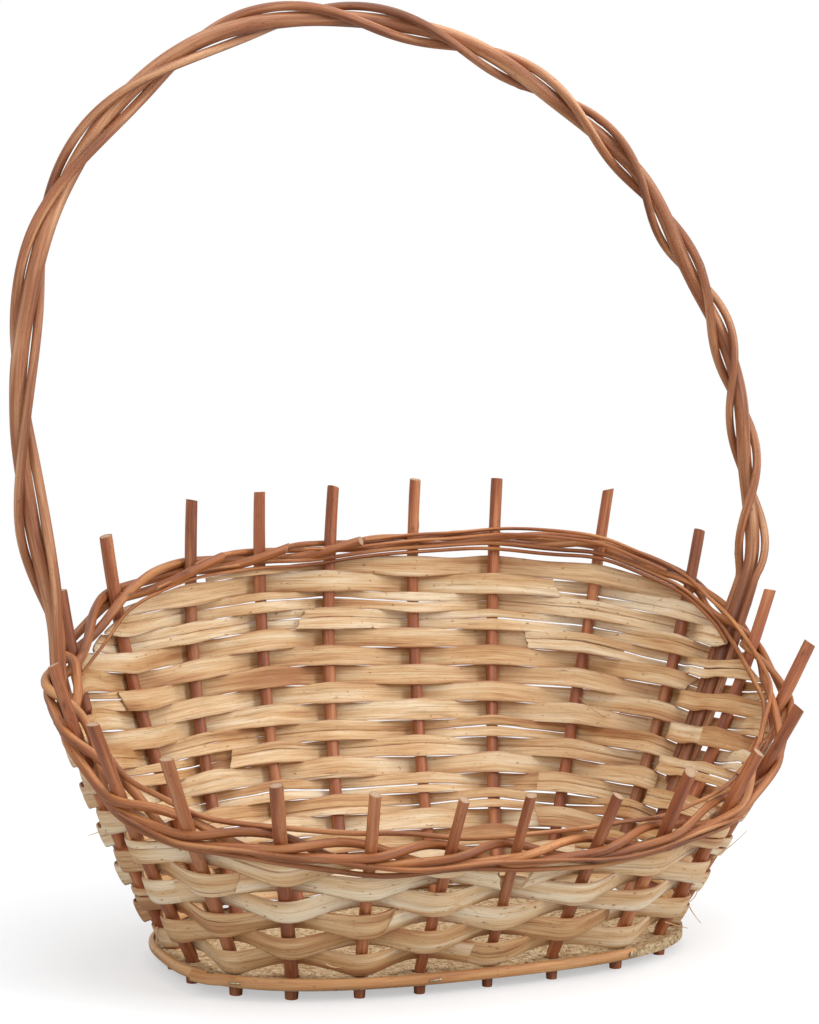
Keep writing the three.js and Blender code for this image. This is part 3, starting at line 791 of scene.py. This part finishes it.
def strip(shape, track, s, rng, laps, ceiling, ends, flare, width, thickness, tone, cup, offset, lanes):
    """A flat splint over the distances s of a track."""
    point, up, face, along = (sample(s, track.s, t) for t in (track.point, track.up, track.face, track.along))
    tuck = np.zeros_like(s)
    for edge, way in laps:
        tuck += smoothstep(way * s, way * edge - TUCK_RUN, way * edge + TUCK_RUN) * TUCK_DEPTH
    point = point - face * tuck[:, None]
    past = (smoothstep(s, s[-1] - FLARE_RUN, s[-1]) * flare[1]
            + (1 - smoothstep(s, s[0], s[0] + FLARE_RUN)) * flare[0])
    point = point - face * past[:, None]
    over = np.cos(pi * np.interp(s, track.s, track.where)) ** 2
    full = np.interp(s, track.s, track.width)
    front = np.clip((full - FRONT_WIDTHS[0]) / FRONT_WIDTHS[1], 0, 1)
    half = full / 2 * (width + OVER_WIDENING * over + FRONT_WIDENING * front) * (1 + wander(rng, s, 70, 0.03))
    rise = wander(rng, s, 120, 0.3)
    tilt = wander(rng, s, 150, 0.03)
    edge_top = wander(rng, s, 23, 0.09)
    edge_low = wander(rng, s, 19, 0.09)
    tones = tone + wander(rng, s, 90, 0.035)
    for lo, hi in lanes:
        hi = np.minimum(hi, ceiling / half)
        lo = np.minimum(lo, hi - LEAST_LANE)
        across = (lo + hi)[:, None] / 2 + (hi - lo)[:, None] / 2 * STRIP_SHARES
        u = across * half[:, None] + rise[:, None]
        u = (u + np.where(STRIP_SHARES > STRIP_EDGE, edge_top[:, None], 0)
             + np.where(STRIP_SHARES < -STRIP_EDGE, edge_low[:, None], 0))
        bow = cup * (1 - across ** 2)
        skin = STRIP_THINNING * thickness / 2
        v_out, v_in = (bow + side * skin + u * tilt[:, None] for side in (1, -1))
        uu = there_and_back(u)
        vv = np.concatenate([v_out, v_in[:, ::-1]], 1)
        rings = point[:, None] + up[:, None] * uu[..., None] + face[:, None] * vv[..., None]
        shares = there_and_back(across)
        for end, amount in zip((0, -1), ends):
            jag = there_and_back(rng.normal(0, 0.35, len(STRIP_SHARES)) * min(abs(amount), 1.5))
            rings[end] += along[end] * (shares[end] * amount * 2.2 + jag)[:, None]
        grain = np.stack([uu, vv, np.repeat(s[:, None], uu.shape[1], 1) + offset], 2)
        tint = np.zeros_like(grain)
        tint[..., 0] = tones[:, None]
        # Painted shade mask along the strip's two edges, which the splint material darkens
        tint[..., 1] = smoothstep(there_and_back(np.abs(STRIP_SHARES)), 0.84, 1.0) * 0.95
        shape.sweep(rings, grain, tint, end_slot=0, end_tint=tone)


# Where a row is pieced: the warp it passes inside, and which way the inner length runs out
JOINTS = {
    1: [(18, 1), (29, -1)], 2: [(15, -1), (8, 1)], 3: [(14, -1), (5, 1)], 4: [(13, -1), (26, 1)], 5: [(14, -1), (3, 1)],
    6: [(15, 1)], 7: [(14, -1)], 8: [(19, 1)], 9: [(14, -1), (22, 1)], 10: [(12, 1)], 11: [(14, -1)],
    12: [(21, 1)], 13: [(14, -1)], 14: [(15, 1)], 15: [(18, 1)], 17: [(16, -1)],
}


def row_joints(row, track):
    """A row's joints in their order: millimetres along the track, way, and where the lap starts and ends."""
    joints = []
    for index, way in JOINTS.get(row, []):
        while index < track.where[0] + JOINT_MARGIN:
            index += WARPS
        if index > track.where[-1] - JOINT_MARGIN:
            continue
        before, after = (0.3 + 0.045 * ((row * 7 + index * 3 + shift) % 10) for shift in (0, 4))
        middle, lap_start, lap_end = (float(np.interp(place, track.where, track.s))
                                      for place in (index, index - before, index + after))
        joints.append((middle, way, lap_start, lap_end))
    return sorted(joints)


def row_ceiling(row, track, s):
    """How far over its middle a row may reach under the rim."""
    low, high = track.where[0], track.where[-1]
    if high - low >= WARPS:
        return np.inf
    turns = np.arange(math.floor(low), ceil(high) + 1)
    rooms = [rim_underside(w) + RIM_TUCK - row_height(row, w) for w in turns]
    return np.interp(np.interp(s, track.s, track.where), turns, rooms)


def cracked_lanes(rng, s):
    """Two lanes of a strip with a long crack between them."""
    middle = rng.uniform(-0.35, 0.35)
    centre = rng.uniform(0.1, 0.7) * (s[-1] - s[0]) + s[0]
    length = rng.uniform(25, 70)
    slope = rng.uniform(-0.002, 0.002)
    border = np.clip(middle + (s - centre) * slope + 0.05 * np.sin(s / 17), -0.75, 0.75)
    gap = 0.07 * np.exp(-((s - centre) / length) ** 4)
    return (-1.0, border - gap), (border + gap, 1.0)


def make_row(row, track):
    rng = draws("row", row)
    joints = row_joints(row, track)
    shape = Shape()
    bounds = [0.0] + [joint[0] for joint in joints] + [track.s[-1]]
    for k in range(len(bounds) - 1):
        start, stop = bounds[k], bounds[k + 1]
        laps = []
        flare = [0.0, 0.0]
        ends = [rng.uniform(-1.2, 1.2), rng.uniform(-1.2, 1.2)]
        if k > 0:
            _, way, start, lap_end = joints[k - 1]
            if way < 0:
                laps.append((lap_end, -1))
                flare[0] = rng.uniform(0.6, 2.8)
        if k < len(joints):
            _, way, lap_start, stop = joints[k]
            if way > 0:
                laps.append((lap_start, 1))
                flare[1] = rng.uniform(0.2, 1.6)
        options = dict(width=rng.uniform(1.03, 1.09), thickness=rng.uniform(0.9, 1.08), tone=rng.uniform(-0.1, 0.08),
                       cup=rng.uniform(0.2, 0.5), offset=row * GRAIN_STEPS["row"] + k * GRAIN_STEPS["length"])
        s = np.linspace(start, stop, max(int((stop - start) / STRIP_STEP), 3) + 1)
        lanes = cracked_lanes(rng, s) if rng.random() < CRACKED_SHARE else [(-1.0, 1.0)]
        strip(shape, track, s, rng, laps, row_ceiling(row, track, s), ends, flare, lanes=lanes, **options)
    shape.make(f"woven_row_{row:02d}", "splint", [f"splint_row_{row:02d}"], sharp=40)


def make_rows():
    row = 1
    while (places := row_track(row)) is not None:
        make_row(row, make_track(places, ROW_CORNER))
        row += 1


# Rim

def rim_wave(turn):
    """A rim rod's height over three warps, from 1 over the others to -1 under them."""
    v = turn % 3
    if v < 0.5:
        return -2 * v
    return v - 1.5 if v < 2.5 else 2 * (3 - v)


def rim_track(number):
    """A rim rod's line: inside one warp and outside the next two, all round."""
    start = RIM_START + number - 1
    inset = (RIM_BUTT + RIM_TIP) / 2 + CLEARANCE
    places = []

    def side_at(index):
        return -1 if (index - start) % 3 == 0 else 1

    def place(position, side, drop):
        radius = rim_radius(position, start)
        slope = (slope_factor(position - 0.5) + slope_factor(position + 0.5)) / 2
        wave = rim_wave(position - start) * (2 * radius + CLEARANCE * 3) * slope * RIM_WAVE
        warp = warp_at(math.floor(position + 0.5))
        reach = side * (min(warp.radius, RIM_REACH_LIMIT) + CLEARANCE * 1.5 + radius) - drop
        places.append(track_place(position, lambda w: warp_at(w).rim + wave, reach, radius * 2))

    place(start - 0.28, -1, inset)
    for index in range(start, start + WARPS):
        side = side_at(index)
        after = rim_share(index, 1)
        for position in (index - rim_share(index, -1), index, index + after):
            place(position, side, inset if index == start else 0)
        next_before = rim_share(index + 1, -1)
        place(index + (1 + after - next_before) / 2, (side + side_at(index + 1)) / 2, 0)
    end = start + WARPS
    place(end - rim_share(end, -1), -1, 0)
    place(end, -1, 0)
    return make_track(places, RIM_CORNER)


# Thin strands laid along the rim: start and end warp, height, side, diameter
THIN_STRANDS = [(22.4, 34.6, -5.4, 1, 2.7), (24.6, 34.3, 4.6, -1, 2.5), (25.2, 33.1, 0.4, 1.45, 2.3),
                (10.3, 20.6, -3.9, -1.0, 2.6), (9.4, 17.9, 3.8, -1.1, 2.3), (12.6, 22.4, -6.4, -1.0, 2.2),
                (14.2, 18.6, 0.6, -1.5, 2.0)]


def thin_track(first, last, height, side, diameter, rng):
    """A thin strand's line along one face of the rim."""
    places = []
    phase = any_angle(rng)
    for position in np.arange(first, last, 0.25):
        lift = height + 1.1 * sin(position * 1.9 + phase) + 0.5 * sin(position * 4.3 + phase)
        radius = min(warp_at(math.floor(position + 0.5)).radius, RIM_REACH_LIMIT)
        reach = side * (radius + 2.6 + 0.7 * sin(position * 2.6 + phase * 2))
        places.append(track_place(position, lambda w: warp_at(w).rim + lift, reach, diameter))
    return make_track(places, THIN_CORNER)


def make_rim():
    for number, (first, last, height, side, diameter) in enumerate(THIN_STRANDS):
        rng = draws("thin", number)
        track = thin_track(first, last, height, side, diameter, rng)
        points = thin_out(track.point, ROD_STEP)
        radii = np.linspace(1, 0.72, len(points)) * diameter / 2
        make_rod(f"rim_thin_{number + 1}", "rim_willow", [], points, radii, rng, sides=10,
                 tone=rng.uniform(-0.15, 0.12), slant=(0.9, 0.4),
                 offset=THIN_GRAIN_START + number * GRAIN_STEPS["thin"])

    for number in (1, 2, 3):
        rng = draws("rim", number)
        track = rim_track(number)
        points = thin_out(track.point, ROD_STEP)
        radii = mix(RIM_BUTT, RIM_TIP, np.linspace(0, 1, len(points))) / 2 * RIM_GIRTH
        knots = knots_at(rng, (rng.uniform(10, track.s[-1]) for _ in range(9)), 0.6, 1.1)
        make_rod(f"rim_strand_{number}", "rim_willow", [f"rim_rod_{number}"], points, radii, rng, sides=12,
                 tone=rng.uniform(-0.08, 0.08), knots=knots, slant=(0.9, 0.3), offset=number * GRAIN_STEPS["rim"])


# Loose fibres: warp position, height along the wall, side, length
FIBRES = [(9.4, 44, 1, 17), (9.8, 24, 1, 13), (10.3, 13, 1, 15), (0.2, 14, 1, 12), (11.2, 31, 1, 11),
          (3.5, 9, 1, 9), (14.6, 90, -1, 14), (20.3, 96, -1, 10), (5.2, 40, 1, 9), (8.8, 10, 1, 12), (23.4, 60, 1, 10)]
FIBRE_POINTS, FIBRE_STANDOUT = 14, 3.4


def make_fibres():
    shape = Shape()
    for number, (position, height, side, length) in enumerate(FIBRES):
        rng = draws("fibre", number)
        base, up, normal = wall_point(position, lambda _: height, side * FIBRE_STANDOUT)
        across = np.cross(up, normal) * rng.choice([-1, 1])
        heading = unit(across * rng.uniform(0.5, 1) + up * rng.uniform(-0.6, 0.6)
                       + normal * side * rng.uniform(0.3, 0.8))
        bend = unit(rng.normal(size=3)) * 0.4
        share = np.linspace(0, 1, FIBRE_POINTS)[:, None]
        points = base + (heading * share + bend * share ** 2) * length
        rod(shape, points, np.linspace(0.34, 0.15, FIBRE_POINTS), rng, sides=6, offset=number * GRAIN_STEPS["fibre"])
    shape.make("loose_fibres", "splint", [])


# Handle

ARCH_STEP = 0.5
LEG_POINTS = 6
TWISTS, TWIST_SLOWING, SETTLING = 5.5, 0.45, 0.12
STRAND_LAGS = [(0, 0), (0.5, 0.39)]
WRAP_TONES = [0.02, -0.05]
TAPERED = 6


def catmull_rom(points):
    """A centripetal Catmull-Rom line through points, sampled finely."""
    p = [2 * points[0] - points[1]] + list(points) + [2 * points[-1] - points[-2]]
    out = []
    for k in range(1, len(p) - 2):
        p0, p1, p2, p3 = p[k - 1:k + 3]
        d = [max(norm(b - a) ** 0.5, 1e-4) for a, b in ((p0, p1), (p1, p2), (p2, p3))]
        t1 = ((p1 - p0) / d[0] - (p2 - p0) / (d[0] + d[1]) + (p2 - p1) / d[1]) * d[1]
        t2 = ((p2 - p1) / d[1] - (p3 - p1) / (d[1] + d[2]) + (p3 - p2) / d[2]) * d[1]
        n = max(int(norm(p2 - p1) / ARCH_STEP), 2)
        for t in np.arange(n) / n:
            out.append((2 * t ** 3 - 3 * t ** 2 + 1) * p1 + (t ** 3 - 2 * t ** 2 + t) * t1
                       + (3 * t ** 2 - 2 * t ** 3) * p2 + (t ** 3 - t ** 2) * t2)
    out.append(p[-2])
    return np.array(out)


def level(v):
    """A vector without its height."""
    return v * np.array([1, 1, 0])


def handle_line():
    """The handle's middle line from the left foot to the right one, with its front and outward directions."""
    right, left = (index for index, warp in enumerate(warps) if not warp.number)
    ends = [rim_place(leg)[0] for leg in (left, right)]
    across = unit(level(ends[1] - ends[0]))
    middle = level((ends[0] + ends[1]) / 2)
    arch = [middle + across * u * HANDLE_HALF_SPAN + upward(v * HANDLE_HEIGHT) for u, v in ARCH]

    def leg_points(leg):
        run = warps[leg].rim - CORE_LIFT
        return [warp_place(warps[leg], CORE_LIFT + run * k / (LEG_POINTS - 1))[0] for k in range(LEG_POINTS)]

    line = thin_out(catmull_rom(leg_points(left) + arch + leg_points(right)[::-1]), 1.0)
    front = np.array([across[1], -across[0], 0.0])
    along = units(np.gradient(line, axis=0))
    length = float(norm(np.diff(line, axis=0), axis=1).sum())
    s = np.linspace(0, length, len(line))
    fronts = np.empty_like(line)
    for k in range(len(line)):
        leg = left if s[k] < length / 2 else right
        before, here, after = (rim_place(leg + j)[0] for j in (-1, 0, 1))
        leg_front = unit(level(after - before))
        leg_front = leg_front * np.sign(np.dot(leg_front, front))
        f = mix(leg_front, front, smoothstep(line[k][2], here[2], here[2] + HANDLE_HALF_SPAN / 4))
        fronts[k] = unit(f - along[k] * np.dot(f, along[k]))
    return SimpleNamespace(point=line, front=fronts, out=np.cross(fronts, along), s=s, length=length,
                           left_rim=warps[left].rim, right_rim=warps[right].rim)


def strand_points(line, first, last, lag, reach):
    """One rod of the handle: its lag in turns and its reach, each at the feet and in the twist."""
    s = np.linspace(first, last, int((last - first) / ROD_STEP) + 1)
    point, front, out = (sample(s, line.s, t) for t in (line.point, line.front, line.out))
    foot = RIM_HALF_HEIGHT * 4 - CORE_LIFT
    start = line.left_rim + foot
    way = np.clip((s - start) / (line.length - start - line.right_rim - foot), 0, 1)
    turns = TWISTS * way * (1 - TWIST_SLOWING * (1 - way))
    settled = smoothstep(np.minimum(way, 1 - way), 0, SETTLING)
    lags, reaches = (mix(low, high, settled) for low, high in (lag, reach))
    angle = 2 * pi * (0.25 + turns - lags)
    return point + out * (reaches * np.cos(angle))[:, None] + front * (reaches * np.sin(angle))[:, None]


def make_handle():
    line = handle_line()
    rng = draws("handle")
    points = strand_points(line, 0, line.length, (0.7, 0.7), (0, CORE_ORBIT))
    knots = knots_at(rng, rng.uniform(80, line.length - 80, 16), 1.0, 1.7)
    radii = np.linspace(1.02, 0.97, len(points)) * CORE_RADIUS
    make_rod("handle_rod", "handle_willow", ["handle_core"], points, radii, rng, sides=18, tone=-0.02, knots=knots,
             slant=(0.3, 0.5))
    for number, diameter in enumerate(WRAP_DIAMETERS):
        low = 1 - WRAP_DEPTHS[number]
        foot_reach = CORE_RADIUS + diameter / 2 + CLEARANCE * 2.5
        points = strand_points(line, line.left_rim * low, line.length - line.right_rim * low, STRAND_LAGS[number],
                               (foot_reach, WRAP_ORBIT))
        knots = knots_at(rng, rng.uniform(60, line.length - 60, 14), 0.7, 1.2)
        radii = np.linspace(1.03, 0.94, len(points)) * diameter / 2
        radii[:TAPERED] *= np.linspace(0.6, 1, TAPERED)
        radii[-TAPERED:] *= np.linspace(1, 0.6, TAPERED)
        make_rod(f"handle_strand_{number + 1}", "handle_willow", [f"handle_wrap_{number + 1}"], points, radii, rng,
                 tone=WRAP_TONES[number], knots=knots, slant=(0.8, 0.8),
                 offset=WRAP_GRAIN_START + number * GRAIN_STEPS["wrap"])


# Hoop, staples and nail

HOOP_JOINT, HOOP_LAP = 203, 5
# Start and end angle, how far the start lies outside the other length, and over what angle
HOOP_SPANS = {"hoop_front": (HOOP_JOINT - HOOP_LAP, 299, HOOP_THICKNESS + CLEARANCE, HOOP_LAP * 1.2),
              "hoop_back": (HOOP_JOINT, 14, 0, HOOP_LAP)}
HOOP_SECTIONS_A_DEGREE = 0.7
HOOP_FACE = CLEARANCE * 2 + HOOP_THICKNESS
HOOP_MIDDLE = BOARD_BOTTOM + HOOP_DROP + HOOP_HEIGHT / 2
STAPLE_ANGLES = (214, 262)
NAIL_ANGLE = 297.5
# A staple's wire across the hoop and out of its face, and a nail's profile along and about its shank
STAPLE_LINE = [(-3, -2.6), (-3, -0.6), (-2.6, 0.45), (-1.8, 0.62), (0, 0.66), (1.8, 0.62), (2.6, 0.45), (3, -0.6),
               (3, -2.6)]
NAIL_PROFILE = [(-2.2, 0.6), (-0.05, 0.62), (0.0, 1.55), (0.25, 1.7), (0.5, 1.62), (0.68, 1.25), (0.76, 0.6),
                (0.78, 0.2)]


def make_hoop():
    for number, (node, (start, stop, lift, span)) in enumerate(HOOP_SPANS.items()):
        rings, grain = [], []
        angles = np.linspace(start, stop, int(abs(stop - start) * HOOP_SECTIONS_A_DEGREE) + 1)
        places, outs = (np.array(table) for table in zip(*(oval_place(angle, EDGE_MARGIN) for angle in angles)))
        for angle, place, out, run in zip(angles, places, outs, runs_along(places)):
            inner = CLEARANCE + lift * (1 - smoothstep(abs(angle - start), span, span * 2))
            middle = HOOP_MIDDLE + 0.15 * sin(run / 31)
            half = HOOP_HEIGHT / 2 * (1 + 0.03 * sin(run / 17 + number))
            section = [(0.0, -0.96), (0.0, 0.96)]
            section += [(HOOP_THICKNESS * cos(a) ** 0.7 * 0.98, sin(a)) for a in np.linspace(1.45, -1.45, 9)]
            rings.append([place + out * (inner + x) + upward(middle + half * y) for x, y in section])
            grain.append([(x, y * half, run + number * GRAIN_STEPS["hoop"]) for x, y in section])
        shape = Shape()
        shape.sweep(np.array(rings), np.array(grain), [0.0, 0.0, 0.0])
        shape.make(f"base_band_{number + 1}", "split_willow", [node], sharp=60)


def make_fixings():
    for number, angle in enumerate(STAPLE_ANGLES):
        place, out = oval_place(angle, EDGE_MARGIN)
        centre = place + upward(HOOP_MIDDLE)
        line = [centre + sideways(out) * across * 0.9 + out * (HOOP_FACE + depth) + upward(0.05 * across)
                for across, depth in STAPLE_LINE]
        make_rod(f"wire_staple_{number + 1}", "steel", [f"hoop_staple_{number + 1}"],
                 blur(thin_out(np.array(line), 0.25), 1.2), 0.5, draws("staple", number), sides=10)
    place, out = oval_place(NAIL_ANGLE, EDGE_MARGIN)
    centre = place + upward(HOOP_MIDDLE)
    turns = np.linspace(0, 2 * pi, 16, endpoint=False)
    rings = [[centre + out * (HOOP_FACE + depth) + sideways(out) * radius * cos(t) + upward(radius * sin(t))
              for t in turns] for depth, radius in NAIL_PROFILE]
    grain = [[(radius * cos(t), radius * sin(t), depth) for t in turns] for depth, radius in NAIL_PROFILE]
    shape = Shape()
    shape.sweep(np.array(rings), np.array(grain), [0.0, 0.0, 0.0], end_slot=0)
    shape.make("wire_nail", "steel", ["hoop_nail"], sharp=45)


make_stakes()
make_rows()
make_rim()
make_fibres()
make_handle()
make_hoop()
make_fixings()
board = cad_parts["base_board"]
board.data.materials.clear()
board.data.materials.append(board_look)

# Floor, light and camera

FLOOR_HALF = 6.0
FLOOR_COLOUR, FLOOR_GLOW = (0.6, 0.615, 0.635), 0.45
FLOOR_FADE = {"From Min": 0.24, "From Max": 0.6}
SKY_COLOUR, SKY_STRENGTH = (1.0, 0.995, 0.985), 0.55


def floor_material():
    """A pale floor that keeps the shadow, and fades to white round it for the camera."""
    g = Graph(bpy.data.materials.new("floor_white"))
    g.tree.nodes.clear()
    seen = g.node("LightPath").outputs["Is Camera Ray"]
    glow = g.join("Emission", WHITE, g.times(seen, FLOOR_GLOW))
    pale = g.join("AddShader", g.join("BsdfDiffuse", FLOOR_COLOUR), glow)
    white = g.join("Emission", WHITE)
    far = g.length(g.node("TexCoord").outputs["Object"])
    fade = g.node("MapRange", interpolation_type="SMOOTHSTEP", Value=far, **FLOOR_FADE).outputs["Result"]
    g.node("OutputMaterial", Surface=g.join("MixShader", g.times(fade, seen), pale, white))
    return g.owner


floor_mesh = bpy.data.meshes.new("floor")
floor_mesh.from_pydata([(x * FLOOR_HALF, y * FLOOR_HALF, 0) for x, y in ((-1, -1), (1, -1), (1, 1), (-1, 1))],
                       [], [(0, 1, 2, 3)])
floor_mesh.materials.append(floor_material())
floor = bpy.data.objects.new("floor", floor_mesh)
bpy.context.scene.collection.objects.link(floor)
floor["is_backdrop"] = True

sky = Graph(bpy.data.worlds.new("studio"))
bpy.context.scene.world = sky.owner
sky.tree.nodes.clear()
rays = sky.node("LightPath").outputs
seen = sky.maths("MAXIMUM", rays["Is Camera Ray"], rays["Is Glossy Ray"])
seen = sky.maths("MAXIMUM", seen, rays["Is Transmission Ray"])
soft = sky.join("Background", SKY_COLOUR, SKY_STRENGTH)
sky.node("OutputWorld", Surface=sky.join("MixShader", seen, soft, sky.join("Background", WHITE, 1.0)))

# Place, target, size, power and colour
LAMPS = {"top_box": ((0.1, -0.15, 1.35), (0, 0, 0.1), (1.2, 1.2), 10.5, WHITE),
         "front_left": ((-1.1, -1.1, 0.75), (0, 0, 0.15), (0.9, 0.9), 7, WHITE),
         "right_box": ((1.0, -1.0, 0.8), (0, 0, 0.15), (0.6, 0.8), 12, (1, 0.985, 0.96))}
for name, (place, target, size, power, colour) in LAMPS.items():
    data = bpy.data.lights.new(name, "AREA")
    data.shape = "RECTANGLE"
    data.size, data.size_y = size
    data.energy = power
    data.color = colour
    lamp = bpy.data.objects.new(name, data)
    lamp.location = place
    lamp.rotation_euler = (Vector(target) - Vector(place)).to_track_quat("-Z", "Y").to_euler()
    bpy.context.scene.collection.objects.link(lamp)

bpy.context.scene.view_settings.view_transform = "Standard"

# The photograph's camera: degrees, pixels, and millimetres to the right, up and back from the target
AZIMUTH, ELEVATION, ROLL = (radians(degrees) for degrees in (-24.1, 3.4, 0.75))
PHOTO_WIDTH = 819
FOCAL_PIXELS = 2200
TARGET_HEIGHT = 150
CAMERA_PLACE = (-8.3, 54.2, 1018.6)

tilt = pi / 2 - ELEVATION
turn = Matrix.Rotation(AZIMUTH, 3, "Z") @ Matrix.Rotation(tilt, 3, "X") @ Matrix.Rotation(ROLL, 3, "Z")
target = Vector((SHIFT[0], SHIFT[1], TARGET_HEIGHT))
place = (target + turn @ Vector(CAMERA_PLACE)) * MM
camera_data = bpy.data.cameras.new("photo_camera")
camera_data.sensor_fit = "HORIZONTAL"
camera_data.lens = FOCAL_PIXELS / PHOTO_WIDTH * camera_data.sensor_width
camera = bpy.data.objects.new("photo_camera", camera_data)
camera.matrix_world = Matrix.Translation(place) @ turn.to_4x4()
bpy.context.scene.collection.objects.link(camera)
bpy.context.scene.camera = camera

as_list = lambda bounds: [[float(v) for v in corner] for corner in bounds]
{"cad": as_list(cad_bounds), "visual": as_list(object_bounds())}
